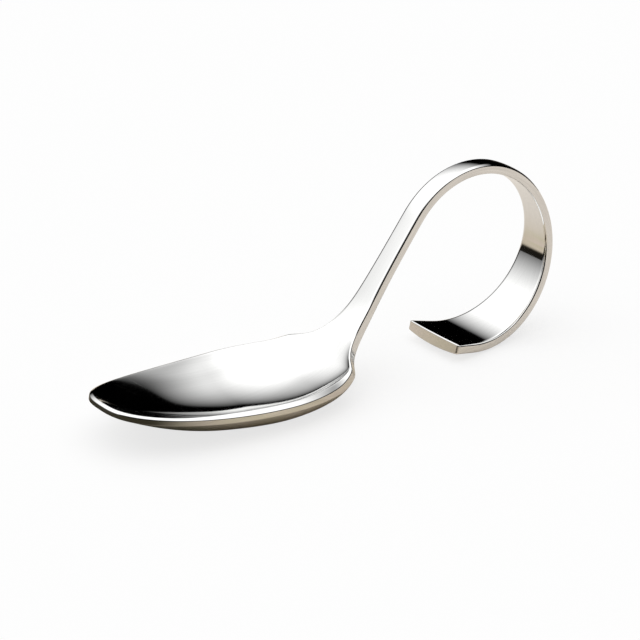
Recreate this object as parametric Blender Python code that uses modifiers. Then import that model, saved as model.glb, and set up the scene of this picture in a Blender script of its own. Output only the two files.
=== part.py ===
"""Tasting spoon with a curled finger handle, built as the five sections of its pressed steel blank.

The blank is described along one side line, which follows the rim of the bowl and then the edge of the
front face of the handle. At every station of that line a half section gives the shape across the blank,
and the stations are lofted and mirrored. The finished spoon is turned to stand on the bowl and the curl.
"""

import math

import bmesh
import bpy

MM = 0.001

# Side line, from the tip of the bowl to the end of the handle
RIM_RADIUS = 204 * MM
RIM_LENGTH = 47.3 * MM
HEEL_RADIUS = 16 * MM
HEEL_SWEEP = math.radians(29)
NECK_RADIUS = 35 * MM
NECK_SWEEP = math.radians(22)
STEM_LENGTH = 19.6 * MM
CURL_RADIUS = 20 * MM
CURL_SWEEP = math.radians(245.7)
END_LENGTH = 5.6 * MM

# Outline of the blank
BOWL_WIDTH = 32.5 * MM
WIDEST_FROM_TIP = 36.9 * MM
TIP_FULLNESS = 0.34
TIP_TAPER = 1.59
REAR_RADIUS = 33.6 * MM
SHOULDER_INSET = 1.4 * MM
SHOULDER_LENGTH = 7.0 * MM
SHOULDER_ROUNDING = 1.5 * MM
LONG_FLARE = 1.85 * MM
LONG_FLARE_FADE = 6.9 * MM
SHORT_FLARE = 0.25 * MM
SHORT_FLARE_FADE = 2.35 * MM
STEM_WIDTH = 4.85 * MM
END_WIDTH = 17.5 * MM
FLARE_START = 0.34
FLARE_POWER = 1.3
END_BOW = 0.3 * MM

# Shape across the blank
DISH_DEPTH = 5.12 * MM
DISH_DEEPEST = 32.9 * MM
DISH_FRONT_POWER = 2.42
DISH_REAR_POWER = 2.2
DISH_RUNOUT = 1.1 * MM
DISH_WALL_POWER = 3.29
TIP_CONE = 0.745
MIDDLE_CONE = 0.395
HEEL_CONE = 0.3
TIP_CONE_ROUNDING = 0.15
MIDDLE_CONE_ROUNDING = 0.514
HEEL_CONE_ROUNDING = 0.3
TIP_SHAPE_TO = 8 * MM
MIDDLE_SHAPE_FROM = 28 * MM
MIDDLE_SHAPE_TO = 32 * MM
HEEL_SHAPE_FROM = 50 * MM
ROLL_WIDTH = 1.25 * MM
ROLL_RISE = 0.7 * MM
ROLL_POWER = 1.2
ROLL_RUNOUT = 3 * MM
TIP_ROLL_SHARE = 0.55
HEEL_ROLL_SHARE = 0.15
BELLY_FROM_TIP = 1.0 * MM
BELLY_DEPTH = 4.69 * MM
BELLY_DEEPEST = 29.4 * MM
BELLY_FRONT_POWER = 1.83
BELLY_REAR_POWER = 3.3
BELLY_RUNOUT = 6.3 * MM
BELLY_FULLER_FROM = 24.4 * MM
BELLY_FULLNESS = 4.0
BELLY_REAR_FULLNESS = 5.2
RIM_THICKNESS = 1.1 * MM
HANDLE_THICKNESS = 2.1 * MM
THICKENED = 3 * MM
CROWN_TO_WIDTH = 0.035
STEM_CROWN_SHARE = 0.3
EDGE_RADIUS = 0.3 * MM
FOOT_WEAR = 0.08 * MM

# Fineness of the mesh
DISH_STEPS = 12
ROLL_STEPS = 3
BACK_STEPS = 12
BACK_CROWDING = 1.5
EDGE_STEPS = 2
TIP_STATIONS = 22
HEEL_STATIONS = 14
NECK_STATIONS = 14
STEM_STATIONS = 4
CURL_STATIONS = 60
SHARP_EDGE = math.radians(35)

# Places along the side line, measured from the tip
HEEL_END = RIM_LENGTH + HEEL_RADIUS * HEEL_SWEEP
NECK_END = HEEL_END + NECK_RADIUS * NECK_SWEEP
STEM_END = NECK_END + STEM_LENGTH
CURL_END = STEM_END + CURL_RADIUS * CURL_SWEEP
LINE_END = CURL_END + END_LENGTH
SHOULDER_START = HEEL_END - SHOULDER_INSET
SHOULDER_END = SHOULDER_START + SHOULDER_LENGTH
BOWL_CUT = (SHOULDER_START + SHOULDER_END) / 2
THICK_FROM = SHOULDER_END + THICKENED
DISH_END = SHOULDER_END + DISH_RUNOUT
BELLY_END = SHOULDER_END + BELLY_RUNOUT


def ease(start, end, at):
    """Smooth step from 0 at the start to 1 at the end."""
    part = min(max((at - start) / (end - start), 0.0), 1.0)
    return part * part * (3 - 2 * part)


def strip_half_width(at):
    """Half width of the neck, stem and handle: it fades out of the shoulders and flares over the curl."""
    behind = at - SHOULDER_END
    shoulders = LONG_FLARE * math.exp(-behind / LONG_FLARE_FADE)
    shoulders += SHORT_FLARE * math.exp(-behind / SHORT_FLARE_FADE)
    start = STEM_END + FLARE_START * (CURL_END - STEM_END)
    part = max((at - start) / (LINE_END - start), 0.0)
    return STEM_WIDTH / 2 + shoulders + (END_WIDTH - STEM_WIDTH) / 2 * part**FLARE_POWER


def half_width(at):
    """Half width of the blank: an egg-shaped bowl that runs into the flare of the shoulders."""
    widest = BOWL_WIDTH / 2
    if at < WIDEST_FROM_TIP:
        return widest * (1 - (1 - at / WIDEST_FROM_TIP) ** TIP_TAPER) ** TIP_FULLNESS
    back = min(at - WIDEST_FROM_TIP, REAR_RADIUS)
    egg = widest - REAR_RADIUS + math.sqrt(REAR_RADIUS**2 - back**2)
    strip = strip_half_width(at)
    lesser = (egg + strip - math.hypot(egg - strip, SHOULDER_ROUNDING)) / 2
    return lesser + (strip - lesser) * ease(SHOULDER_START, SHOULDER_END, at)


def along_profile(at, first, deepest, last, front_power, rear_power):
    """Share of the full depth along the middle of the bowl, from its first to its last place."""
    if at < deepest:
        part = min((deepest - at) / (deepest - first), 1.0)
        return 1 - part**front_power
    part = min((at - deepest) / (last - deepest), 1.0)
    return (1 - part**rear_power) ** 2


def roll_share(at):
    """Share of the rolled rim's full width and rise, which is less round the tip."""
    return TIP_ROLL_SHARE + (1 - TIP_ROLL_SHARE) * ease(TIP_SHAPE_TO, MIDDLE_SHAPE_FROM, at)


def roll_left(at):
    """Share of the roll that is left on its way to the shoulders, before which it runs out."""
    return 1 - ease(RIM_LENGTH, SHOULDER_END - ROLL_RUNOUT, at)


def outline_lean(at):
    """Width across that one unit of width square to the outline takes, from the outline's slope."""
    step = 1e-6
    before = max(at - step, 0.0)
    return math.hypot(1, (half_width(at + step) - half_width(before)) / (at + step - before))


def blended(tip, middle, heel, at):
    """A quantity of the dish that changes from the tip to the middle and from the middle to the heel."""
    front = (middle - tip) * ease(TIP_SHAPE_TO, MIDDLE_SHAPE_FROM, at)
    return tip + front + (heel - middle) * ease(MIDDLE_SHAPE_TO, HEEL_SHAPE_FROM, at)


def dish_depth(at):
    """Depth of the bowl's floor below the crest of the rim, at the middle of the section."""
    depth = DISH_DEPTH - ROLL_RISE * (1 - roll_share(at))
    return depth * along_profile(
        at, TIP_ROLL_SHARE * ROLL_WIDTH, DISH_DEEPEST, DISH_END, DISH_FRONT_POWER, DISH_REAR_POWER
    )


def edge_thickness(at):
    """Height of the edge face, from the thin rim of the bowl to the thicker handle."""
    return RIM_THICKNESS + (HANDLE_THICKNESS - RIM_THICKNESS) * ease(WIDEST_FROM_TIP, THICK_FROM, at)


def belly(at):
    """How far the underside hangs below the lower edge, at the middle of the section."""
    return BELLY_DEPTH * along_profile(
        at, BELLY_FROM_TIP, BELLY_DEEPEST, BELLY_END, BELLY_FRONT_POWER, BELLY_REAR_POWER
    )


def belly_fullness(at):
    """Power of the underside's section, which is fuller towards the heel of the bowl."""
    fuller = BELLY_REAR_FULLNESS - BELLY_FULLNESS
    return BELLY_FULLNESS + fuller * ease(BELLY_FULLER_FROM, WIDEST_FROM_TIP, at)


def crown(at):
    """How far the front face of the handle rises above its edges, at the middle of the section."""
    full = CROWN_TO_WIDTH * 2 * strip_half_width(at) * ease(SHOULDER_START, THICK_FROM, at)
    return full * (STEM_CROWN_SHARE + (1 - STEM_CROWN_SHARE) * ease(STEM_END, STEM_END + CURL_RADIUS, at))


def half_section(at):
    """Points (across, up) of a half section, from the middle of the front face to the middle of the back."""
    half = max(half_width(at), 1e-9)
    corner = min(EDGE_RADIUS, half / 3)
    flat = half - corner
    roll, left = ROLL_WIDTH * roll_share(at) * outline_lean(at), roll_left(at)
    dish = half - min(roll, half / 3)
    roll *= HEEL_ROLL_SHARE + (1 - HEEL_ROLL_SHARE) * left
    depth, hang, rise, edge = dish_depth(at), belly(at), crown(at), edge_thickness(at)
    lift, fullness = ROLL_RISE * roll_share(at) * left, belly_fullness(at)
    cone = blended(TIP_CONE, MIDDLE_CONE, HEEL_CONE, at)
    rounding = blended(TIP_CONE_ROUNDING, MIDDLE_CONE_ROUNDING, HEEL_CONE_ROUNDING, at)

    def front(across):
        part = across / dish
        slant = (math.hypot(part, rounding) - rounding) / (math.hypot(1, rounding) - rounding)
        sunk = max(0.0, 1 - cone * slant - (1 - cone) * part**DISH_WALL_POWER)
        rolled = max(0.0, 1 - (half - across) / roll) ** ROLL_POWER
        return rise * (1 - (across / half) ** 2) + lift * (1 - rolled) - depth * sunk

    def back(across):
        return -edge - hang * (1 - (across / half) ** fullness)

    places = [dish * k / DISH_STEPS for k in range(DISH_STEPS + 1)]
    places += [dish + (flat - dish) * k / ROLL_STEPS for k in range(1, ROLL_STEPS)]
    points = [(across, front(across)) for across in places]
    for k in range(EDGE_STEPS + 1):
        angle = math.pi / 2 * (1 - k / EDGE_STEPS)
        height = front(flat) - corner
        points.append((flat + corner * math.cos(angle), height + corner * math.sin(angle)))
    for k in range(EDGE_STEPS + 1):
        angle = -math.pi / 2 * k / EDGE_STEPS
        height = back(flat) + corner
        points.append((flat + corner * math.cos(angle), height + corner * math.sin(angle)))
    for k in range(1, BACK_STEPS + 1):
        across = flat * (1 - (k / BACK_STEPS) ** BACK_CROWDING)
        points.append((across, back(across)))
    return points


def side_line(at):
    """Position (x, z) and heading of the side line before the spoon is stood up."""
    x = z = heading = 0.0
    bends = (
        (RIM_LENGTH, 1 / RIM_RADIUS),
        (HEEL_RADIUS * HEEL_SWEEP, 1 / HEEL_RADIUS),
        (NECK_RADIUS * NECK_SWEEP, 1 / NECK_RADIUS),
        (STEM_LENGTH, 0.0),
        (CURL_RADIUS * CURL_SWEEP, -1 / CURL_RADIUS),
        (END_LENGTH, 0.0),
    )
    left = at
    for length, bend in bends:
        run = min(left, length)
        chord = run if bend == 0 else 2 / bend * math.sin(bend * run / 2)
        x += chord * math.cos(heading + bend * run / 2)
        z += chord * math.sin(heading + bend * run / 2)
        heading += bend * run
        left -= run
    return x, z, heading


def raised(at, up):
    """Side view position of a point this far above the side line."""
    x, z, heading = side_line(at)
    return x - up * math.sin(heading), z + up * math.cos(heading)


def spread(start, end, count):
    """Evenly spaced stations, both ends included."""
    return [start + (end - start) * k / count for k in range(count + 1)]


def turned(point, tilt):
    """Side view position of a point after the tilt."""
    x, z = point
    return x * math.cos(tilt) - z * math.sin(tilt), x * math.sin(tilt) + z * math.cos(tilt)


def standing():
    """Tilt and shift that bring the bowl's underside and the outside of the curl onto the table."""
    bowl = [raised(at, -edge_thickness(at) - belly(at)) for at in spread(0, RIM_LENGTH, 400)]
    curl = [raised(at, crown(at)) for at in spread(STEM_END, LINE_END, 800)]
    tilt = 0.0
    for _ in range(12):
        low_bowl, low_curl = (
            min((turned(point, tilt) for point in line), key=lambda point: point[1]) for line in (bowl, curl)
        )
        tilt -= math.atan2(low_curl[1] - low_bowl[1], low_curl[0] - low_bowl[0])
    return tilt, low_bowl


TILT, FOOT = standing()


def placed(at, across, up):
    """Finished position of a point of the section, worn flat where the spoon stands on the table."""
    x, z = turned(raised(at, up), TILT)
    return x - FOOT[0], across, max(z - FOOT[1] - FOOT_WEAR, 0.0)


def section(at):
    """Finished half section at a station. The sections of the handle end bow out to its rounded end."""
    share = max((at - CURL_END) / END_LENGTH, 0.0)
    half = half_width(at)
    return [
        placed(at - share * END_BOW * (across / half) ** 2 if share else at, across, up)
        for across, up in half_section(at)
    ]


def polished_steel(name):
    """Plain polished steel for one section."""
    material = bpy.data.materials.new(name)
    material.use_nodes = True
    shader = material.node_tree.nodes["Principled BSDF"]
    shader.inputs["Base Color"].default_value = (0.78, 0.77, 0.74, 1)
    shader.inputs["Metallic"].default_value = 1
    shader.inputs["Roughness"].default_value = 0.08
    return material


def blank_section(name, stations, collection):
    """Loft of half sections, closed at both ends and mirrored across the spoon."""
    mesh = bpy.data.meshes.new(name)
    shape = bmesh.new()
    rings = [[shape.verts.new(point) for point in section(at)] for at in stations]
    for ring, following in zip(rings, rings[1:]):
        for k in range(len(ring) - 1):
            shape.faces.new((ring[k], following[k], following[k + 1], ring[k + 1]))
    shape.faces.new(rings[0])
    shape.faces.new(reversed(rings[-1]))
    bmesh.ops.remove_doubles(shape, verts=shape.verts, dist=1e-7)
    shape.to_mesh(mesh)
    shape.free()
    mesh.shade_smooth()
    mesh.set_sharp_from_angle(angle=SHARP_EDGE)
    piece = bpy.data.objects.new(name, mesh)
    mirror = piece.modifiers.new("Mirror across the spoon", "MIRROR")
    mirror.use_axis = (False, True, False)
    mirror.merge_threshold = 1e-6
    mesh.materials.append(polished_steel(f"polished steel {name}"))
    collection.objects.link(piece)
    return piece


for thing in list(bpy.data.objects):
    bpy.data.objects.remove(thing, do_unlink=True)
spoon = bpy.data.collections.new("tasting_spoon")
bpy.context.scene.collection.children.link(spoon)

tip = [WIDEST_FROM_TIP * (1 - math.cos(math.pi / 2 * k / TIP_STATIONS)) for k in range(TIP_STATIONS)]
heel = spread(WIDEST_FROM_TIP, BOWL_CUT, HEEL_STATIONS)
blank_section("bowl", tip + heel, spoon)
blank_section("neck", spread(BOWL_CUT, NECK_END, NECK_STATIONS), spoon)
blank_section("stem", spread(NECK_END, STEM_END, STEM_STATIONS), spoon)
blank_section("curl", spread(STEM_END, CURL_END, CURL_STATIONS), spoon)
blank_section("handle_end", spread(CURL_END, LINE_END, 3), spoon)
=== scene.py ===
"""Looks of a tasting spoon whose handle curls back into a finger loop.

The spoon is one pressed steel blank. Its surface is worked out as one whole on parameter grids: a half
outline of the blank, lines that run from the spine to that outline, and a front and a back height over
them, all carried along the side line of the bent blank. The grid is then cut into the five sections that
the frame names, so that the polish runs on over the cuts. Lengths inside the classes are millimetres.
"""

import logging
import math
from collections.abc import Callable
from dataclasses import dataclass, field
from enum import Enum
from functools import partial

import bpy
import numpy as np
from bpy.types import Camera, Material, Mesh, Node, NodeSocket, NodeTree, Object, World
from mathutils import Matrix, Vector
from numpy.typing import NDArray


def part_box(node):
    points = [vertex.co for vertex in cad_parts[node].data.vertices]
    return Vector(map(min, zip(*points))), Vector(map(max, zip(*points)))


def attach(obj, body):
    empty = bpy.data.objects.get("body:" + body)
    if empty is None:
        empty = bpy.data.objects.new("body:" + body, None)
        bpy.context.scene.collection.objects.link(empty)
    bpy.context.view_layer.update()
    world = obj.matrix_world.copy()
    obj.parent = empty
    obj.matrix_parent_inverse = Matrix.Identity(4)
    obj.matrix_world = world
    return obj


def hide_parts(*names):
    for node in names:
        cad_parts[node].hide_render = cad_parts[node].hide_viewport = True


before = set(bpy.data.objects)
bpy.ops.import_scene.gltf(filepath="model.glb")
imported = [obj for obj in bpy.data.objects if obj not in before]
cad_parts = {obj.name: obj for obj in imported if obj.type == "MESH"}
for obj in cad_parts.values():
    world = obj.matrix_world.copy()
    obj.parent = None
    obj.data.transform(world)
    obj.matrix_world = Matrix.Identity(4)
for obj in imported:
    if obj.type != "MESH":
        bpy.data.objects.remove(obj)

Array = NDArray[np.float64]
Pair = tuple[float, float]
Triple = tuple[float, float, float]
Range = tuple[float, ...]
Face = Callable[..., Array]
Given = dict[str | int, object]
Adder = Callable[..., Node]

# A millimetre in metres; then in millimetres the side of the map along the steel, the step for slopes and the
# least length that counts.
MM = 0.001
MAP_SIDE = 200.0
STEP = 0.001
LEAST = 1e-6
log = logging.getLogger("tasting_spoon")


class Stretch(Enum):
    """The sections of the blank, in order from the tip, named as in the frame."""

    BOWL = "bowl"
    NECK = "neck"
    STEM = "stem"
    CURL = "curl"
    HANDLE_END = "handle_end"


Spans = dict[Stretch, tuple[int, int]]


def eased(start: float, end: float, at: Array) -> Array:
    """Step from 0 to 1 whose slope and bend both start and end at nothing.

    The step is 6 p^5 - 15 p^4 + 10 p^3 of the share p of the way, on a span a quarter longer than named,
    so that its middle is as steep as that of a plain smooth step.
    """
    share = np.clip((at - start) / (end - start) / 1.25 + 0.1, 0.0, 1.0)
    return share**3 * (10 - 15 * share + 6 * share**2)


def above_zero(value: Array, rounding: float) -> Array:
    """The larger of the value and zero, with the corner between them rounded.

    It is half the sum of the value and the root of its square plus the rounding's square.
    """
    return (value + np.sqrt(value**2 + rounding**2)) / 2


def slope(face: Face, place: tuple[Array, ...], way: tuple[Array | int, ...]) -> Array:
    """Slope of a function of the place along a way, from its values a step ahead and a step behind."""
    ahead, behind = ([at + sense * STEP * part for at, part in zip(place, way)] for sense in (1, -1))
    return (face(*ahead) - face(*behind)) / (2 * STEP)


def put(name: str, data: Mesh | Camera) -> Object:
    """Object of this name with this data, in the scene."""
    made = bpy.data.objects.new(name, data)
    bpy.context.scene.collection.objects.link(made)
    return made


@dataclass
class SideLine:
    """Course of the front edge of the blank seen from the side, from the bowl's tip to the handle's end."""

    rim_radius: float = 204.0
    rim_length: float = 47.3
    heel_radius: float = 16.0
    heel_sweep: float = math.radians(29.0)
    neck_radius: float = 35.0
    neck_sweep: float = math.radians(22.0)
    stem_length: float = 19.6
    curl_radius: float = 20.0
    curl_sweep: float = math.radians(245.7)
    end_length: float = 5.6
    bend_easing: float = 5.0
    step: float = 0.02
    margin: float = 12.0
    marks: Array = field(init=False)
    table: dict[str, Array] = field(init=False)

    def __post_init__(self) -> None:
        """Work out the line once: the bend is averaged over the easing length, then summed up twice."""
        stretches = (
            (self.rim_length, self.rim_radius),
            (self.heel_radius * self.heel_sweep, self.heel_radius),
            (self.neck_radius * self.neck_sweep, self.neck_radius),
            (self.stem_length, math.inf),
            (self.curl_radius * self.curl_sweep, -self.curl_radius),
            (self.end_length, math.inf),
        )
        lengths, radii = np.array(stretches).T
        bends = 1 / radii
        self.marks = np.concatenate([[0.0], np.cumsum(lengths)])
        run = np.arange(-self.margin, self.marks[-1] + self.margin, self.step)
        sharp = bends[np.clip(np.searchsorted(self.marks, run, side="right") - 1, 0, len(bends) - 1)]
        window = np.hanning(2 * round(self.bend_easing / self.step / 2) + 3)
        bend = np.convolve(np.pad(sharp, len(window) // 2, mode="edge"), window / window.sum(), mode="valid")
        heading = self.summed(bend, run)
        x, z = self.summed(np.cos(heading), run), self.summed(np.sin(heading), run)
        self.table = {"run": run, "bend": bend, "heading": heading, "x": x, "z": z}

    def summed(self, values: Array, run: Array) -> Array:
        """Sum of values along the line by trapezoids, which is nothing where the line starts."""
        total = np.concatenate([[0.0], np.cumsum((values[1:] + values[:-1]) / 2 * self.step)])
        return total - np.interp(0.0, run, total)

    def look_up(self, name: str, at: Array) -> Array:
        """One quantity of the line (x, z, heading or bend) at places along it."""
        return np.interp(at, self.table["run"], self.table[name])


@dataclass
class Bowl:
    """The egg-shaped dish, its rim that is rolled over outwards, and its underside."""

    width: float = 32.5
    widest: float = 36.9
    tip_fullness: float = 0.34
    tip_taper: float = 1.59
    tip_rounding: float = 0.03
    rear_radius: float = 33.6
    dish_depth: float = 5.12
    dish_deepest: float = 32.9
    dish_powers: Pair = (2.42, 2.2)
    depth_rounding: float = 0.02
    cone_shares: Triple = (0.745, 0.395, 0.45)
    cone_roundings: Triple = (0.15, 0.514, 0.3)
    wall_places: Range = (8.0, 28.0, 32.0, 50.0)
    wall_powers: Triple = (3.29, 3.29, 6.0)
    roll: float = 1.25
    roll_rise: float = 0.7
    roll_power: float = 1.2
    roll_rounding: float = 0.04
    tip_roll_share: float = 0.55
    heel_roll_share: float = 0.15
    crease: float = 0.03
    belly_first: float = 1.0
    belly_depth: float = 4.69
    belly_deepest: float = 29.4
    belly_powers: Pair = (1.83, 3.3)
    belly_fullness: Pair = (4.0, 5.2)
    belly_fuller_from: float = 24.4
    rim_thickness: float = 1.1

    def egg(self, at: Array) -> Array:
        """Half width of the bowl before the shoulders.

        In front of the widest place it is the half width times (1 - p^taper)^fullness, where p is the
        share of the way left to the widest place, with its corner at 0 rounded; behind it the outline is a
        circular arc.

        Args:
            at: places along the side line.

        Returns:
            Half widths.
        """
        left = np.clip(1 - at / self.widest, 0.0, 1.0)
        rounding, half_taper = self.tip_rounding, self.tip_taper / 2
        power, bare, full = ((part**2 + rounding**2) ** half_taper for part in (left, 0.0, 1.0))
        front = (1 - np.clip((power - bare) / (full - bare), 0.0, 1.0)) ** self.tip_fullness
        back = np.clip(at - self.widest, 0.0, self.rear_radius)
        return self.width / 2 * front - self.rear_radius + np.sqrt(self.rear_radius**2 - back**2)

    def blended(self, values: Triple, at: Array) -> Array:
        """A quantity of the dish, eased from the tip to the middle and from there to the heel."""
        (tip, middle, heel), places = values, self.wall_places
        return tip + (middle - tip) * eased(*places[:2], at) + (heel - middle) * eased(*places[2:], at)

    def roll_share(self, at: Array) -> Array:
        """Share of the rolled rim's full width and rise, which is less round the tip."""
        return self.tip_roll_share + (1 - self.tip_roll_share) * eased(*self.wall_places[:2], at)

    def section(self, at: Array, part: Array) -> Array:
        """Share of the depth across the dish.

        It is 1 - c v - (1 - c) p^n of the share p of the way to the rim, where c is the cone's share of the
        depth and v a cone whose point is rounded: root(p^2 + r^2) - r, scaled to 1 at the rim.

        Args:
            at: places along the side line.
            part: shares of the way from the middle to the rim.

        Returns:
            Shares of the depth, from 1 in the middle to 0 at the rim.
        """
        cone, rounding = self.blended(self.cone_shares, at), self.blended(self.cone_roundings, at)
        slant = (np.hypot(part, rounding) - rounding) / (np.hypot(1.0, rounding) - rounding)
        wall = part ** self.blended(self.wall_powers, at)
        return above_zero(1 - cone * slant - (1 - cone) * wall, self.crease)

    def profile(self, at: Array, ends: Triple, powers: Pair) -> Array:
        """Share of the full depth along the middle of the bowl.

        In front of the deepest place it is 1 - p^a of the share p of the way to the first place; behind it
        (1 - q^b)^2 of the share q of the way to the last place.

        Args:
            at: places along the side line.
            ends: first, deepest and last place.
            powers: the powers a and b.

        Returns:
            Shares of the depth.
        """
        first, deepest, last = ends
        front = 1 - np.maximum((deepest - at) / (deepest - first), 0.0) ** powers[0]
        rear = 1 - np.clip((at - deepest) / (last - deepest), 0.0, 1.0) ** powers[1]
        return np.where(at < deepest, above_zero(front, self.depth_rounding), rear**2)


@dataclass
class Handle:
    """The narrow strip behind the bowl, which flares towards the cut end of the handle."""

    stem_width: float = 4.85
    long_flare: float = 1.85
    long_flare_fade: float = 6.9
    short_flare: float = 0.25
    short_flare_fade: float = 2.35
    end_width: float = 17.5
    flare_start: float = 0.34
    flare_power: float = 1.3
    flare_rounding: float = 0.06
    end_bow: float = 0.3
    end_corner: float = 0.7
    thickness: float = 2.1
    crown_to_width: float = 0.035
    stem_crown_share: float = 0.3
    corner_width: float = 0.95
    corner_fall: float = 0.24
    corner_rounding: float = 0.05


@dataclass
class Grid:
    """The worked out half surface: rows follow the outline, columns run round a section."""

    place: Array
    normal: Array
    run: Array
    across: Array
    edge: Array
    along: Array
    front_columns: int


@dataclass
class Spoon:
    """The whole blank: outline, heights, grid, and the pieces that stand for the frame's nodes."""

    line: SideLine = field(default_factory=SideLine)
    bowl: Bowl = field(default_factory=Bowl)
    handle: Handle = field(default_factory=Handle)
    shoulder_inset: float = 1.4
    shoulder_length: float = 7.0
    shoulder_rounding: float = 1.5
    thickened: float = 3.0
    dish_rounding: float = 0.3
    dish_runout: float = 1.1
    roll_runout: float = 3.0
    wear_start: float = 4.0
    wear_full: float = 6.0
    belly_runout: float = 6.3
    edge_radius: float = 0.3
    foot_wear: float = 0.08
    spacing: float = 0.45
    end_spacing: float = 0.27
    fan_shift: float = 14.0
    fan_reach: float = 44.0
    spine_short: float = 2.5
    rim_band: float = 3.0
    rim_columns: int = 24
    floor_columns: int = 26
    edge_columns: int = 6
    arc_rounds: int = 6
    stand_rounds: int = 12
    fine: int = 6000
    tip_at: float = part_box("bowl")[0].x / MM
    tilt: float = field(init=False)
    foot: Pair = field(init=False)

    def __post_init__(self) -> None:
        """Name the places along the side line and stand the spoon on the table."""
        _, self.rim_end, heel_end, self.neck_end, self.stem_end, self.curl_end, self.end = self.line.marks
        self.shoulder_start = heel_end - self.shoulder_inset
        self.shoulder_end = self.shoulder_start + self.shoulder_length
        self.bowl_cut = (self.shoulder_start + self.shoulder_end) / 2
        self.thick_from = self.shoulder_end + self.thickened
        self.wear_places = (self.shoulder_start + self.wear_start, self.thick_from + self.wear_full)
        bowl, last = self.bowl, self.shoulder_end
        self.dish_ends = (bowl.roll * bowl.tip_roll_share, bowl.dish_deepest, last + self.dish_runout)
        self.belly_ends = (bowl.belly_first, bowl.belly_deepest, last + self.belly_runout)
        self.make_dish_table()
        self.stand()

    def strip(self, at: Array) -> Array:
        """Half width of the strip behind the bowl's widest place.

        Half the stem's width, plus a long and a short flare towards the shoulders that fade with the
        exponential of the way behind them, plus a power of the way from the start of the end's flare.

        Args:
            at: places along the side line.

        Returns:
            Half widths.
        """
        handle, at = self.handle, np.maximum(at, self.bowl.widest)
        behind = at - self.shoulder_end
        shoulders = handle.long_flare * np.exp(-behind / handle.long_flare_fade)
        shoulders += handle.short_flare * np.exp(-behind / handle.short_flare_fade)
        start = self.stem_end + handle.flare_start * (self.curl_end - self.stem_end)
        share = above_zero((at - start) / (self.end - start), handle.flare_rounding)
        flare = (handle.end_width - handle.stem_width) / 2 * share**handle.flare_power
        return handle.stem_width / 2 + shoulders + flare

    def half_width(self, at: Array) -> Array:
        """Half width of the blank.

        The lesser of the bowl's egg and the strip, with the corner between them rounded as in above_zero,
        and eased into the strip alone over the shoulders.

        Args:
            at: places along the side line.

        Returns:
            Half widths.
        """
        egg, strip = self.bowl.egg(at), self.strip(at)
        lesser = (egg + strip - np.hypot(egg - strip, self.shoulder_rounding)) / 2
        lesser = np.where(at < self.bowl.widest, egg, lesser)
        return lesser + (strip - lesser) * eased(self.shoulder_start, self.shoulder_end, at)

    def plan(self, at: Array) -> Array:
        """Plan points (along, across) of the outline at places along the side line."""
        return np.stack([at, self.half_width(at)], axis=1)

    @staticmethod
    def outline_normal(points: Array) -> Array:
        """Outward unit normals of a plan polyline that runs from the tip along one side."""
        ahead = np.gradient(points, axis=0)
        return np.stack([-ahead[:, 1], ahead[:, 0]], axis=1) / np.linalg.norm(ahead, axis=1, keepdims=True)

    def make_dish_table(self) -> None:
        """Half width of the dish, from the outline set in along its normal by the width of the rolled rim.

        Behind the widest place the inset stays below a third of the half width.
        """
        place = self.neck_end * np.linspace(STEP, 1.0, self.fine) ** 3
        rim, inset = self.plan(place), self.roll_width(place)
        third = rim[:, 1] / 3
        narrowed = third - above_zero(third - inset, self.dish_rounding)
        inset = np.where(place < self.bowl.widest, inset, narrowed)
        inner = rim - inset[:, None] * self.outline_normal(rim)
        inner = inner[inner[:, 1] > self.dish_rounding]
        self.dish_at, self.dish_width = inner[:, 0], inner[:, 1]

    def roll_left(self, at: Array) -> Array:
        """Share of the rolled rim that is left as it runs out over the shoulders."""
        return 1 - eased(self.rim_end, self.shoulder_end - self.roll_runout, at)

    def roll_width(self, at: Array) -> Array:
        """Width of the rolled rim, which narrows round the tip and to a thin line at the heel."""
        heel = self.bowl.heel_roll_share
        return self.bowl.roll * self.bowl.roll_share(at) * (heel + (1 - heel) * self.roll_left(at))

    def corner_wear(self, at: Array, apart: Array) -> Array:
        """Depth by which buffing has softened the strip's corners, this far apart from the outline.

        It is the full fall times the square of 1 - e, where e is the distance from the outline as a share
        of the softened width, and it sets in behind the shoulders.
        """
        share = above_zero(1 - apart / self.handle.corner_width, self.handle.corner_rounding)
        return self.handle.corner_fall * share**2 * eased(*self.wear_places, at)

    def front(self, at: Array, across: Array) -> Array:
        """Height of the front face above the side line.

        In the bowl it is minus the depth times the profile along the bowl times the section across it;
        outside the dish the rim is rolled over, by its rise times a power of the share of the roll's width
        that lies within; on the handle it is a crown that falls off with the square of the way to the edge,
        less the wear of the corner.

        Args:
            at: places along the side line.
            across: distances from the middle.

        Returns:
            Heights.
        """
        bowl, across = self.bowl, np.abs(across)
        half = np.maximum(self.half_width(at), LEAST)
        part = across / np.interp(at, self.dish_at, self.dish_width)
        sunk = bowl.section(at, part) * bowl.profile(at, self.dish_ends, bowl.dish_powers)
        share, apart = bowl.roll_share(at), self.from_outline(at, across, half)
        rolled = above_zero(1 - apart / self.roll_width(at), bowl.roll_rounding) ** bowl.roll_power
        rise = bowl.roll_rise * share * self.roll_left(at)
        crown = self.handle.crown_to_width * 2 * self.strip(at)
        crown = crown * eased(self.shoulder_start, self.thick_from, at)
        flat = self.handle.stem_crown_share
        crown = crown * (flat + (1 - flat) * eased(self.stem_end, self.stem_end + self.line.curl_radius, at))
        crowned = crown * (1 - (across / half) ** 2) - self.corner_wear(at, apart)
        depth = bowl.dish_depth - bowl.roll_rise * (1 - share)
        return crowned + rise * (1 - rolled) - depth * sunk

    def from_outline(self, at: Array, across: Array, half: Array) -> Array:
        """Distance from the outline, to first order.

        It is the cube of the half width less the cube of the distance across, divided by the length of its
        own gradient; cubes keep it even round the blunt tip.
        """
        run = half**2 * slope(self.half_width, (at,), (1,))
        return (half**3 - across**3) / (3 * np.sqrt(run**2 + across**4) + LEAST)

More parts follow.
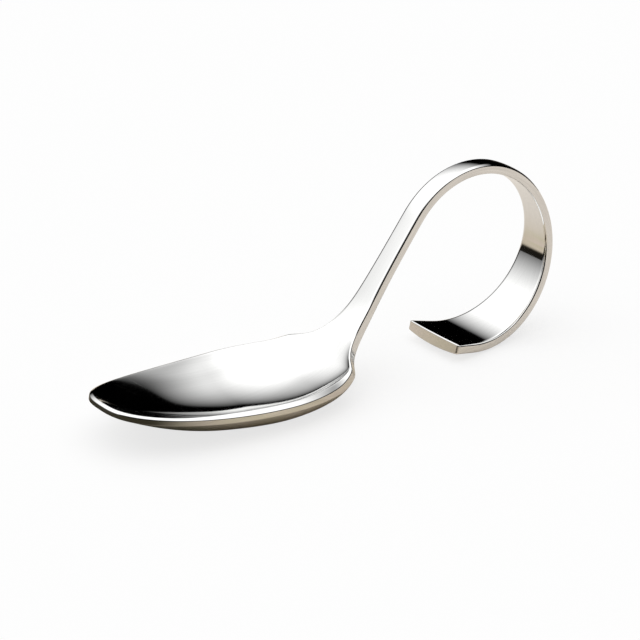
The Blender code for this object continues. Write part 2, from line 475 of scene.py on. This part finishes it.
    def edge_height(self, at: Array) -> Array:
        """Height of the edge face, from the thin rim of the bowl to the thicker handle."""
        thin, thick = self.bowl.rim_thickness, self.handle.thickness
        return thin + (thick - thin) * eased(self.bowl.widest, self.thick_from, at)

    def back(self, at: Array, across: Array) -> Array:
        """Height of the back face above the side line.

        It is minus the edge height, minus the belly of the bowl and plus the wear of the corner. The belly
        is its depth times the profile along the bowl times 1 - p^n of the share p of the way to the outline.

        Args:
            at: places along the side line.
            across: distances from the middle.

        Returns:
            Heights, which are below zero.
        """
        bowl, across = self.bowl, np.abs(across)
        half = np.maximum(self.half_width(at), LEAST)
        plain, fuller = bowl.belly_fullness
        fullness = plain + (fuller - plain) * eased(bowl.belly_fuller_from, bowl.widest, at)
        hang = above_zero(1 - (across / half) ** fullness, bowl.depth_rounding)
        hang = hang * bowl.profile(at, self.belly_ends, bowl.belly_powers)
        wear = self.corner_wear(at, self.from_outline(at, across, half))
        return wear - self.edge_height(at) - bowl.belly_depth * hang

    def side_view(self, at: Array, up: Array) -> tuple[Array, Array]:
        """Places x and z of points this far above the side line, before the spoon is stood up."""
        heading, x, z = (self.line.look_up(name, at) for name in ("heading", "x", "z"))
        return x - up * np.sin(heading), z + up * np.cos(heading)

    def stand(self) -> None:
        """Tilt and shift that bring the bowl's underside and the outside of the curl onto the table."""
        bowl_at = np.linspace(self.bowl.belly_first, self.rim_end, 800)
        curl_at = np.linspace(self.stem_end, self.end, 1600)
        under, outer = (
            np.stack(self.side_view(at, face(at, np.zeros_like(at))))
            for face, at in ((self.back, bowl_at), (self.front, curl_at))
        )
        tilt = 0.0
        for _ in range(self.stand_rounds):
            turn = np.array([[math.cos(tilt), -math.sin(tilt)], [math.sin(tilt), math.cos(tilt)]])
            bowl_low, curl_low = ((turn @ row)[:, np.argmin((turn @ row)[1])] for row in (under, outer))
            tilt -= math.atan2(curl_low[1] - bowl_low[1], curl_low[0] - bowl_low[0])
        self.tilt, self.foot = tilt, (float(bowl_low[0]), float(bowl_low[1]))

    def placed(self, at: Array, across: Array, up: Array) -> Array:
        """Finished places of points, worn flat where the spoon stands on the table.

        Args:
            at: places along the side line.
            across: distances from the middle.
            up: heights above the side line.

        Returns:
            Places (x, y, z).
        """
        x, z = self.side_view(at, up)
        cos, sin = math.cos(self.tilt), math.sin(self.tilt)
        level = x * sin + z * cos - self.foot[1] - self.foot_wear
        return np.stack([x * cos - z * sin - self.foot[0], across, np.maximum(level, 0.0)], axis=-1)

    def turned(self, at: Array, ahead: Array, across: Array, up: Array) -> Array:
        """Finished unit vectors.

        Args:
            at: places along the side line.
            ahead: parts along that line.
            across: parts across it.
            up: parts up from it.

        Returns:
            Unit vectors (x, y, z).
        """
        heading = self.line.look_up("heading", at) + self.tilt
        cos, sin = np.cos(heading), np.sin(heading)
        vector = np.stack([ahead * cos - up * sin, across, ahead * sin + up * cos], axis=-1)
        return vector / np.linalg.norm(vector, axis=-1, keepdims=True)

    def outline(self) -> tuple[Array, Array, Spans]:
        """Half outline of the flat blank, evenly spaced, with the spine place that each point looks to.

        The outline runs from the tip along one side, round the corner of the handle's end and across that
        end to the middle. Lines near the tip and near the end fan out from a short stretch of the spine:
        near the tip the spine place lies ahead by a shift times the cube of the way left to the fan's reach.

        Returns:
            Plan points (along, across), the spine place for each, and the first and last row of each stretch.
        """
        bowl, handle = self.bowl, self.handle
        tip = bowl.widest * np.linspace(0.0, 1.0, self.fine) ** 3
        after = np.linspace(bowl.widest, self.bowl_cut, 2000)[1:]
        rim = self.plan(np.concatenate([tip, after]))
        rim[0, 1] = 0.0
        cuts = [self.bowl_cut, self.neck_end, self.stem_end, self.curl_end]
        sides = [np.linspace(a, b, round((b - a) / self.spacing) + 1) for a, b in zip(cuts, cuts[1:])]
        rows = [self.evenly(rim, self.spacing), *(self.plan(at)[1:] for at in sides)]
        corner = handle.end_corner
        side = self.plan(np.linspace(self.curl_end, self.end - handle.end_bow - corner, 200))
        inner = side[-1, 1] - corner
        turn = np.linspace(math.pi / 2, 0.0, 60)[1:]
        bend = np.stack([side[-1, 0] + corner * np.cos(turn), inner + corner * np.sin(turn)], axis=1)
        width = np.linspace(inner, 0.0, 300)[1:]
        bow = handle.end_bow * (1 - (width / inner) ** 2)
        bowed = np.stack([bend[-1, 0] + bow, width], axis=1)
        rows.append(self.evenly(np.concatenate([side, bend, bowed]), self.end_spacing)[1:])
        points = np.concatenate(rows)
        points[-1, 1] = 0.0
        ends = (np.cumsum([len(row) for row in rows]) - 1).tolist()
        spans = dict(zip(Stretch, zip([0, *ends], ends)))
        spine = points[:, 0] + self.fan_shift * np.clip(1 - points[:, 0] / self.fan_reach, 0.0, 1.0) ** 3
        first, end = spans[Stretch.HANDLE_END]
        spine[first : end + 1] = np.linspace(self.curl_end, self.end - self.spine_short, end - first + 1)
        return points, spine, spans

    @staticmethod
    def evenly(points: Array, spacing: float) -> Array:
        """The same polyline with evenly spaced points, both ends kept.

        Args:
            points: plan points of the polyline.
            spacing: distance between points, which is rounded to fit.

        Returns:
            The new plan points.
        """
        run = np.concatenate([[0.0], np.cumsum(np.linalg.norm(np.diff(points, axis=0), axis=1))])
        at = np.linspace(0.0, run[-1], round(run[-1] / spacing) + 1)
        return np.stack([np.interp(at, run, column) for column in points.T], axis=1)

    def half_section(self, face: Face, side: float, points: Array, spine: Array) -> tuple[Array, ...]:
        """One face of the blank and the rounding that leads from it to the edge face.

        The face lies on lines from the spine to the start of the rounding; its normal is up, less its slope
        across, less its slope along. The rounding is an arc of the edge radius in an upright plane, from the
        tilt of the face's normal to a normal in the plan: its centre plus the radius times (cos a, sin a)
        outward and upward. A normal's part along the line is divided by 1 - bend times height, which is how
        much the bent line stretches there.

        Args:
            face: height of the face over the plan.
            side: 1 for the front face and -1 for the back face.
            points: plan points of the outline.
            spine: place on the spine that each outline point looks to.

        Returns:
            Places, normals, places along, and how far the arc has turned from the face, from 0 to 1.
        """
        radius, outward = self.edge_radius, self.outline_normal(points)
        outward[0], outward[-1] = (-1.0, 0.0), (1.0, 0.0)
        inset = np.full(len(points), radius)
        # Where the arc starts depends on the tilt of the face there, so that it is found in rounds.
        for _ in range(self.arc_rounds):
            start = points - inset[:, None] * outward
            tilt = np.arctan(-side * slope(face, start.T, outward.T))
            inset = radius * (1 - np.sin(tilt))
        start = points - inset[:, None] * outward
        reach = np.stack([spine, np.zeros_like(spine)], axis=1) - start
        length = np.linalg.norm(reach, axis=1, keepdims=True)
        band = np.minimum(self.rim_band, length / 2)
        close = band * np.linspace(0.0, 1.0, self.rim_columns + 1)[:-1]
        far = band + (length - band) * np.linspace(0.0, 1.0, self.floor_columns + 1)
        share = np.concatenate([close, far], axis=1)[:, ::-1] / length
        at, across = (start[:, k, None] + share * reach[:, k, None] for k in (0, 1))
        up = face(at, across)
        along_slope, cross_slope = (slope(face, (at, across), way) for way in ((1, 0), (0, 1)))
        turned_by = np.linspace(0.0, 1.0, self.edge_columns + 1)[1:]
        angle = (math.pi / 2 - tilt)[:, None] * (1 - turned_by)
        lean, rise = np.cos(angle), side * np.sin(angle)
        out = (-inset - radius * np.sin(tilt))[:, None] + radius * lean
        centre = face(*start.T) - side * radius * np.cos(tilt)
        at, across, up, ahead, aside, rise, turned_by = (
            np.concatenate(pair, axis=1)
            for pair in (
                (at, points[:, :1] + out * outward[:, :1]),
                (across, points[:, 1:] + out * outward[:, 1:]),
                (up, centre[:, None] + radius * rise),
                (-side * along_slope, lean * outward[:, :1]),
                (-side * cross_slope, lean * outward[:, 1:]),
                (np.full_like(up, side), rise),
                (np.zeros_like(up), np.broadcast_to(turned_by, rise.shape)),
            )
        )
        stretch = 1 - self.line.look_up("bend", at) * up
        return self.placed(at, across, up), self.turned(at, ahead / stretch, aside, rise), at, turned_by

    def grid(self) -> tuple[Grid, Spans]:
        """Half surface of the whole spoon: front face, rounded edge and back face, row by row.

        Returns:
            The grid, and the first and last row of each stretch.
        """
        points, spine, spans = self.outline()
        sides = ((self.front, 1.0), (self.back, -1.0))
        halves = (self.half_section(face, side, points, spine) for face, side in sides)
        place, normal, at, edge = (
            np.concatenate([front, back[:, ::-1]], axis=1) for front, back in zip(*halves)
        )
        place[np.abs(place[..., 1]) < LEAST, 1] = 0.0
        place[..., 0] += self.tip_at - place[..., 0].min()
        normal[place[..., 2] <= 0.0] = (0.0, 0.0, -1.0)
        step = np.linalg.norm(np.diff(place, axis=1), axis=2)
        across = np.concatenate([np.zeros((len(place), 1)), np.cumsum(step, axis=1)], axis=1)
        none = np.zeros(len(points))
        ahead = self.turned(points[:, 0], none + 1, none, none)
        return Grid(place, normal, at, across, edge, ahead, self.rim_columns + self.floor_columns + 1), spans


@dataclass
class Piece:
    """One section of the spoon as a closed mesh: a stretch of the half grid, mirrored, with cut faces."""

    stretch: Stretch
    grid: Grid
    first: int
    last: int

    def __post_init__(self) -> None:
        """Number the points of the half grid, and after them the mirrored points off the middle."""
        self.rows = slice(self.first, self.last + 1)
        self.apart = np.abs(self.grid.place[self.rows, :, 1]) > 0.0
        self.own = np.arange(self.apart.size).reshape(self.apart.shape)
        mirrored = self.own.size - 1 + np.cumsum(self.apart).reshape(self.apart.shape)
        self.other = np.where(self.apart, mirrored, self.own)

    def both(self, values: Array, flip: Triple | float = 1.0) -> Array:
        """Values of the grid at this piece's points, and times the flip at the mirrored points."""
        own = values[self.rows]
        return np.concatenate([own[np.ones_like(self.apart)], (own * flip)[self.apart]])

    def build(self, materials: list[Material]) -> Object:
        """Make the mesh with its own normals, its map along the steel and its wear attributes.

        Args:
            materials: finish of the faces, then finish of the edges.

        Returns:
            The piece's object.
        """
        grid, mirror = self.grid, (1.0, -1.0, 1.0)
        places, normals = (self.both(part, mirror) for part in (grid.place, grid.normal))
        along, across, edge = (self.both(part) for part in (grid.run, grid.across, grid.edge))
        faces, kinds = self.skin()
        caps, cap_normals = self.cuts()
        mesh = bpy.data.meshes.new(self.stretch.value)
        mesh.from_pydata((places * MM).tolist(), [], faces + caps)
        mesh.polygons.foreach_set("material_index", np.array(kinds + [0] * len(caps), dtype=np.int32))
        skin, corner = np.concatenate(faces), np.concatenate(faces + caps)
        mesh.shade_smooth()
        mesh.normals_split_custom_set(np.concatenate([normals[skin], *cap_normals]).tolist())
        # The map holds the ways along and across the steel; on the mirrored half, across is turned round.
        side = np.where(np.arange(len(corner)) < len(skin) // 2, 1.0, -1.0)
        spread = np.stack([along[corner], across[corner] * side], axis=1) / MAP_SIDE
        steel = mesh.uv_layers.new(name="along_the_steel")
        steel.data.foreach_set("uv", spread.astype(np.float32).ravel())
        mesh.attributes.new("edge", "FLOAT", "POINT").data.foreach_set("value", edge.astype(np.float32))
        for material in materials:
            mesh.materials.append(material)
        return put(f"{self.stretch.value}_polished", mesh)

    def skin(self) -> tuple[list[list[int]], list[int]]:
        """Faces of both halves; the four-sided faces at the ends of the spine are cut into triangles.

        Returns:
            Vertex numbers of each face, and 0 for a face of the blank or 1 for its edge.
        """
        rows, columns = self.own.shape
        first_edge = self.grid.front_columns - 1 + (columns - 2 * self.grid.front_columns) // 4
        # Half of each rounding has the finish of the faces, the other half that of the edge.
        kind = np.zeros((rows - 1, columns - 1), dtype=int)
        kind[:, first_edge:-first_edge] = 1
        spine_corner = np.full_like(kind, -1)
        if self.stretch is Stretch.BOWL:
            spine_corner[0, 0], spine_corner[0, -1] = 0, 3
        if self.stretch is Stretch.HANDLE_END:
            spine_corner[-1, 0], spine_corner[-1, -1] = 1, 2
        whole = spine_corner < 0
        faces: list[list[int]] = []
        kinds: list[int] = []
        for index, way in ((self.own, 1), (self.other, -1)):
            quads = np.stack([index[:-1, :-1], index[1:, :-1], index[1:, 1:], index[:-1, 1:]], axis=-1)
            faces += quads[whole][:, ::way].tolist()
            kinds += kind[whole].tolist()
            for quad, corner in zip(quads[~whole], spine_corner[~whole]):
                turned = np.roll(quad, -corner)
                faces += [turned[[0, k, k + 1]][::way].tolist() for k in (1, 2)]
                kinds += [0, 0]
        return faces, kinds

    def cuts(self) -> tuple[list[list[int]], list[Array]]:
        """Plane faces where this section meets its neighbours, as strips between front and back.

        Returns:
            Vertex numbers of each face, and the normals of its corners.
        """
        wide = self.grid.front_columns
        faces: list[list[int]] = []
        normals: list[Array] = []
        ends = [] if self.stretch is Stretch.BOWL else [(self.first, -1)]
        ends += [] if self.stretch is Stretch.HANDLE_END else [(self.last, 1)]
        for row, sense in ends:
            for index, way in ((self.own, -sense), (self.other, sense)):
                ring = index[row - self.first]
                front, back, rim = ring[:wide], ring[::-1][:wide], ring[wide - 1 : 1 - wide]
                strip = np.stack([front[:-1], front[1:], back[1:], back[:-1]], axis=1)
                made = strip[:, ::way].tolist() + [rim[::way].tolist()]
                faces += made
                count = sum(len(face) for face in made)
                normals.append(np.broadcast_to(sense * self.grid.along[row], (count, 3)))
        return faces, normals


def linear(code: str) -> Range:
    """Linear colour with full alpha from an sRGB hex value."""
    parts = [int(code[k : k + 2], 16) / 255 for k in (1, 3, 5)]
    return (*(p / 12.92 if p <= 0.04045 else ((p + 0.055) / 1.055) ** 2.4 for p in parts), 1.0)


def add_node(tree: NodeTree, kind: str, given: Given | None = None) -> Node:
    """Add a node, set its properties and its inputs, and link its inputs.

    Args:
        tree: node tree that takes the node.
        kind: Blender's name of the node type, without ShaderNode.
        given: values by property name, or values, sockets or nodes by input name or number. A node stands
            for its first output.

    Returns:
        The new node.
    """
    node = tree.nodes.new(f"ShaderNode{kind}")
    for key, value in (given or {}).items():
        if isinstance(key, str) and key in node.bl_rna.properties:
            setattr(node, key, value)
        elif isinstance(value, (Node, NodeSocket)):
            tree.links.new(value.outputs[0] if isinstance(value, Node) else value, node.inputs[key])
        else:
            node.inputs[key].default_value = value
    return node


def adder(owner: Material | World) -> Adder:
    """The function add_node for the emptied node tree of a material or a world."""
    owner.use_nodes = True
    owner.node_tree.nodes.clear()
    return partial(add_node, owner.node_tree)


@dataclass(frozen=True)
class Finish:
    """What the finishes of the steel share: a metal shader fed with a tone, a dullness and a normal.

    A range is the low and high number that go into a map range node, then those that come out of it if they
    are not 0 and 1.
    """

    name: str
    colours: tuple[str, str]
    roughness: Pair
    line_length: float
    line_width: float
    line_height: float
    scuff_size: float = 0.7
    foot_height: float = 0.35

    def material(self) -> Material:
        """Make the material from the finish's own patterns."""
        material = bpy.data.materials.new(self.name)
        add = adder(material)
        tone, dull, normal = self.patterns(add)
        low, high = (linear(code) for code in self.colours)
        colour = add("Mix", {"data_type": "RGBA", 0: tone, 6: low, 7: high}).outputs[2]
        rough = add("MapRange", {0: dull, **dict(enumerate(self.roughness, 3))})
        steel = {"Metallic": 1.0, "Base Color": colour, "Roughness": rough, "Normal": normal}
        add("OutputMaterial", {"Surface": add("BsdfPrincipled", steel)})
        return material

    def patterns(self, add: Adder) -> tuple[Node, ...]:
        """Nodes of the finish's tone, dullness and normal."""
        raise NotImplementedError

    def shared(self, add: Adder) -> tuple[Node | NodeSocket, ...]:
        """What both finishes carry.

        Lines that the last polishing or grinding left are drawn out along the steel. Scuffs are full on the
        table and gone a little above it.

        Args:
            add: adds a node to the material.

        Returns:
            The place, the edge attribute, the lines and the share of scuffing.
        """
        place = add("TexCoord").outputs["Object"]
        edge = add("Attribute", {"attribute_name": "edge"}).outputs["Fac"]
        steel = add("UVMap", {"uv_map": "along_the_steel"})
        drawn = (MAP_SIDE / self.line_length, MAP_SIDE / self.line_width, 1.0)
        at = add("Mapping", {"Scale": drawn, "Vector": steel})
        lines = add("TexNoise", {"Scale": 1.0, "Detail": 3.0, "Vector": at})
        height = add("SeparateXYZ", {0: place}).outputs["Z"]
        near = add("MapRange", {0: height, 1: self.foot_height * MM, 2: 0.0})
        spots = add("TexNoise", {"Scale": 1 / (self.scuff_size * MM), "Detail": 4.0, "Vector": place})
        return place, edge, lines, add("Math", {"operation": "MULTIPLY", 0: near, 1: spots})


@dataclass(frozen=True)
class BuffedSteel(Finish):
    """Stainless steel buffed to a mirror.

    It gives hard black and white reflections that waver a little, fine polish lines in their greys, a faint
    haze in places, a few hairline scratches, bright rubbed corners, and scuffs where it stands.
    """

    name: str = "mirror-buffed stainless steel"
    colours: tuple[str, str] = ("#E1E1E0", "#EBEBEA")
    roughness: Pair = (0.03, 0.3)
    line_length: float = 16.0
    # Real buffing lines are hundredths of a millimetre wide; these are as fine as a picture can show.
    line_width: float = 0.45
    line_height: float = 0.0004
    wave_length: float = 9.0
    wave_height: float = 0.004
    haze_length: float = 14.0
    haze_range: Range = (0.35, 0.75, 0.0, 0.14)
    scratch_turn: Triple = (0.5, 0.3, 0.6)
    scratch_length: float = 26.0
    scratch_width: float = 0.35
    scratch_depth: float = 0.001
    scratch_cut: Range = (0.73, 0.79)
    haze_cut: Range = (0.5, 0.62)
    # How much lines, scratches, corners and scuffs dull the steel, and how haze and corners shift its tone.
    dullness: Range = (0.09, 0.35, -0.1, 1.0)
    tones: Pair = (-0.5, 1.0)

    def patterns(self, add: Adder) -> tuple[Node, ...]:
        """Polish lines, haze, scratches, rubbed corners and scuffs.

        Args:
            add: adds a node to the material.

        Returns:
            Nodes of tone, dullness and normal.
        """
        place, corner, lines, scuffs = self.shared(add)
        # Haze: soft patches where fingers and cloth have passed, so that no large face is evenly glossy.
        # Waver: the pressed face is not quite true, which bends the edges of reflections.
        haze, wave = (
            add("TexNoise", {"Scale": 1 / (length * MM), "Detail": detail, "Vector": place})
            for length, detail in ((self.haze_length, 3.0), (self.wave_length, 1.0))
        )
        # Scratches: the thin crests of a drawn out noise, kept only where the haze is strong.
        turned = add("Mapping", {"Rotation": self.scratch_turn, "Vector": place})
        along, across = (1 / (size * MM) for size in (self.scratch_length, self.scratch_width))
        drawn = add("Mapping", {"Scale": (along, across, along), "Vector": turned})
        crests = add("TexNoise", {"Scale": 1.0, "Detail": 0.0, "Vector": drawn})
        marks, kept, dull = (
            add("MapRange", {0: noise, **dict(enumerate(span, 1))})
            for noise, span in ((crests, self.scratch_cut), (haze, self.haze_cut), (haze, self.haze_range))
        )
        marks = add("Math", {"operation": "MULTIPLY", 0: marks, 1: kept})
        # Corners: rubbed brighter and smoother than the faces by use.
        for source, weight in zip((lines, marks, corner, scuffs), self.dullness):
            dull = add("Math", {"operation": "MULTIPLY_ADD", 0: source, 1: weight, 2: dull})
        tone = lines
        for source, weight in zip((haze, corner), self.tones):
            tone = add("Math", {"operation": "MULTIPLY_ADD", 0: source, 1: weight, 2: tone})
        bump = add("Bump", {"Distance": self.wave_height * MM, "Height": wave})
        for height, depth, sunk in ((lines, self.line_height, False), (marks, self.scratch_depth, True)):
            bump = add("Bump", {"invert": sunk, "Distance": depth * MM, "Height": height, "Normal": bump})
        return tone, dull, bump


@dataclass(frozen=True)
class GroundEdge(Finish):
    """The cut edge of the blank, ground on a belt.

    It gives a satin face with lines that run along the edge, soft dark and light stretches where the belt
    pressed more or less, bright rubbed corners, and scuffs where it stands.
    """

    name: str = "belt-ground stainless steel edge"
    colours: tuple[str, str] = ("#D5D4D2", "#E6E5E3")
    roughness: Pair = (0.08, 0.32)
    line_length: float = 9.0
    # Real belt lines are about 0.05 mm wide; these are as fine as a picture can show.
    line_width: float = 0.3
    line_height: float = 0.0012
    line_tones: Range = (0.3, 0.7)
    press_length: float = 6.0
    satin_range: Range = (0.4, 1.0, 0.1, 1.0)
    dull_range: Range = (0.6, 1.4, 0.15, 0.7)

    def patterns(self, add: Adder) -> tuple[Node, ...]:
        """Belt lines, pressure marks, rubbed corners and scuffs.

        Args:
            add: adds a node to the material.

        Returns:
            Nodes of tone, dullness and normal.
        """
        place, middle, lines, scuffs = self.shared(add)
        # Pressure: stretches of the edge that the belt cut finer or coarser.
        press = add("TexNoise", {"Scale": 1 / (self.press_length * MM), "Detail": 2.0, "Vector": place})
        cut = add("Math", {"operation": "ADD", 0: lines, 1: press})
        # Corners: the attribute is below 1 on the rounded corners, which use has rubbed smooth.
        satin, dull, tone = (
            add("MapRange", {0: source, **dict(enumerate(span, 1))})
            for source, span in ((middle, self.satin_range), (cut, self.dull_range), (lines, self.line_tones))
        )
        dull = add("Math", {"operation": "MULTIPLY_ADD", 0: dull, 1: satin, 2: scuffs})
        return tone, dull, add("Bump", {"Distance": self.line_height * MM, "Height": lines})


@dataclass
class Studio:
    """Pale floor, soft light and the camera at the photograph's angle."""

    azimuth: float = math.radians(35.715)
    elevation: float = math.radians(23.166)
    target: Triple = (16.84, 0.0, 14.5)
    distance: float = 600.0
    lens: float = 163.69
    sensor: float = 36.0
    clip: Pair = (10.0, 20000.0)
    flag_bearing: float = math.radians(-45.0)
    flag_height: float = math.radians(23.7)
    flag_swing: float = math.radians(29.4)
    flag_cap: float = math.radians(38.5)
    flag_cap_rounding: float = math.radians(6.0)
    flag_blur: float = 0.006
    fade: float = math.radians(15.5)
    fade_swing: float = math.radians(12.0)
    shade_reach: Pair = (math.radians(52.0), math.radians(44.0))
    black: float = 0.02
    white: float = 1.45
    floor_side: float = 4000.0
    floor_drop: float = 0.02
    floor_glow: float = 0.75
    floor_colours: tuple[str, str] = ("#D6CCB2", "#E2D3C4")
    floor_tints_and_painted_shades: tuple[tuple[str, float, float, str, bool], ...] = (
        # Painted shadow: the table is dark under the tip, where the spoon's own shadow falls.
        ("X", -42.0, -6.0, "#3C382C", True),
        ("X", 25.0, 70.0, "#F1E9DF", False),
        # Painted shade: the table is dark far behind the spoon, which the far corners reflect as thin dark
        # lines.
        ("Y", 70.0, 150.0, "#1E1C18", False),
    )
    cloud_length: float = 16.0
    cloud_range: Range = (0.35, 0.65)

    def look(self) -> Vector:
        """Direction in which the camera looks."""
        a, e = self.azimuth, self.elevation
        return Vector((math.sin(a) * math.cos(e), math.cos(a) * math.cos(e), -math.sin(e)))

    def camera(self) -> None:
        """Camera at the photograph's angle, looking at the middle of the picture."""
        look = self.look()
        data = bpy.data.cameras.new("camera")
        data.lens, data.sensor_width = self.lens, self.sensor
        data.clip_start, data.clip_end = (reach * MM for reach in self.clip)
        camera = put("camera", data)
        camera.location = (Vector(self.target) - look * self.distance) * MM
        camera.rotation_mode = "QUATERNION"
        camera.rotation_quaternion = look.to_track_quat("-Z", "Y")
        bpy.context.scene.camera = camera

    def floor(self) -> None:
        """Pale floor just under the spoon.

        The camera sees white paper. The steel sees a warm table with a soft cloudy grain, paler towards
        the loop, with a painted shadow under the tip where the spoon's shadow falls and painted shade far
        behind the spoon; this is what colours the edges and the underside, and draws the dark lines on the
        corners that face away from the camera.
        """
        half, level = self.floor_side / 2 * MM, -self.floor_drop * MM
        corners = [(x * half, y * half, level) for x, y in ((-1, -1), (1, -1), (1, 1), (-1, 1))]
        mesh = bpy.data.meshes.new("floor")
        mesh.from_pydata(corners, [], [(0, 1, 2, 3)])
        material = bpy.data.materials.new("white paper sweep with painted shade")
        add = adder(material)
        place = add("TexCoord").outputs["Object"]
        parts = add("SeparateXYZ", {0: place})
        cloud = add("TexNoise", {"Scale": 1 / (self.cloud_length * MM), "Detail": 2.0, "Vector": place})
        grain = add("MapRange", {0: cloud, **dict(enumerate(self.cloud_range, 1))})
        low, high = (linear(code) for code in self.floor_colours)
        colour = add("Mix", {"data_type": "RGBA", 0: grain, 6: low, 7: high}).outputs[2]
        # The first and last tints paint shade onto the table that the steel reflects; the middle one makes it
        # paler towards the loop.
        for axis, start, end, code, dim in self.floor_tints_and_painted_shades:
            way = {"interpolation_type": "SMOOTHSTEP", 0: parts.outputs[axis], 1: start * MM, 2: end * MM}
            share = add("MapRange", way)
            first, second = (7, 6) if dim else (6, 7)
            tint_and_painted_shade = {first: colour, second: linear(code)}
            colour = add("Mix", {"data_type": "RGBA", 0: share, **tint_and_painted_shade}).outputs[2]
        warm_table_with_painted_shade = add("BsdfDiffuse", {"Color": colour})
        paper = add("BsdfDiffuse", {"Color": linear("#FFFFFF")})
        white = add("MixShader", {0: self.floor_glow, 1: paper, 2: add("Emission")})
        eye = add("LightPath").outputs["Is Camera Ray"]
        add("OutputMaterial", {"Surface": add("MixShader", {0: eye, 1: warm_table_with_painted_shade, 2: white})})
        mesh.materials.append(material)
        floor = put("floor", mesh)

    def world(self) -> None:
        """Studio seen from the spoon: white overhead and behind, black flags on the right and in front.

        The flags' upper edge lies at an elevation that follows the cosine of the bearing from their middle
        and is capped; above it the light rises evenly to white, over a wider span away from their middle.
        A round shade stands where the camera is and draws the thin dark lines on the rounded corners.
        """
        world = bpy.data.worlds.new("studio")
        add = adder(world)
        toward, light = add("TexCoord"), add("LightPath")
        level = add("VectorMath", {"operation": "MULTIPLY", 0: toward, 1: (1, 1, 0)})
        level = add("VectorMath", {"operation": "NORMALIZE", 0: level})
        middle = (math.cos(self.flag_bearing), math.sin(self.flag_bearing), 0)
        facing, behind = (
            add("VectorMath", {"operation": "DOT_PRODUCT", 0: source, 1: way}).outputs["Value"]
            for source, way in ((level, middle), (toward, tuple(-self.look())))
        )
        height = add("SeparateXYZ", {0: toward}).outputs["Z"]
        rise = add("Math", {"operation": "ARCSINE", 0: height})
        widest = self.fade + self.fade_swing
        edge, span = (
            add("Math", {"operation": "MULTIPLY_ADD", 0: facing, 1: swing, 2: base})
            for swing, base in ((self.flag_swing, self.flag_height), (-self.fade_swing, widest))
        )
        cap = {"operation": "SMOOTH_MIN", 0: edge, 1: self.flag_cap, 2: self.flag_cap_rounding}
        above = add("Math", {"operation": "SUBTRACT", 0: rise, 1: add("Math", cap)})
        share = add("Math", {"operation": "DIVIDE", 0: above, 1: span})
        seen = add("MapRange", {0: share, 3: self.black, 4: self.white})
        clear = add("MapRange", {0: above, 1: -self.flag_blur, 2: self.flag_blur})
        outer, inner = (math.cos(reach) for reach in self.shade_reach)
        shade = add("MapRange", {0: behind, 1: outer, 2: inner, 3: 1.0, 4: self.black})
        glossy = add("Mix", {0: light.outputs["Is Glossy Ray"], 2: 1.0, 3: shade})
        for dimmed in (clear, glossy):
            seen = add("Math", {"operation": "MULTIPLY", 0: seen, 1: dimmed})
        eye = add("Mix", {0: light.outputs["Is Camera Ray"], 2: seen, 3: 1.0})
        sky = {"Color": linear("#FFFFFF"), "Strength": eye}
        add("OutputWorld", {"Surface": add("Background", sky)})
        bpy.context.scene.world = world


def main() -> None:
    """Build the spoon and the studio around it."""
    logging.basicConfig(level=logging.INFO, format="%(name)s: %(message)s")
    bpy.context.scene.view_settings.view_transform = "Standard"
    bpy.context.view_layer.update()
    grid, spans = Spoon().grid()
    materials = [BuffedSteel().material(), GroundEdge().material()]
    for stretch, (first, last) in spans.items():
        piece = Piece(stretch, grid, first, last).build(materials)
        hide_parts(stretch.value)
        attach(piece, "root")
        log.info("%s: %d faces", piece.name, len(piece.data.polygons))
    studio = Studio()
    studio.floor()
    studio.world()
    studio.camera()


if __name__ == "__main__":
    main()
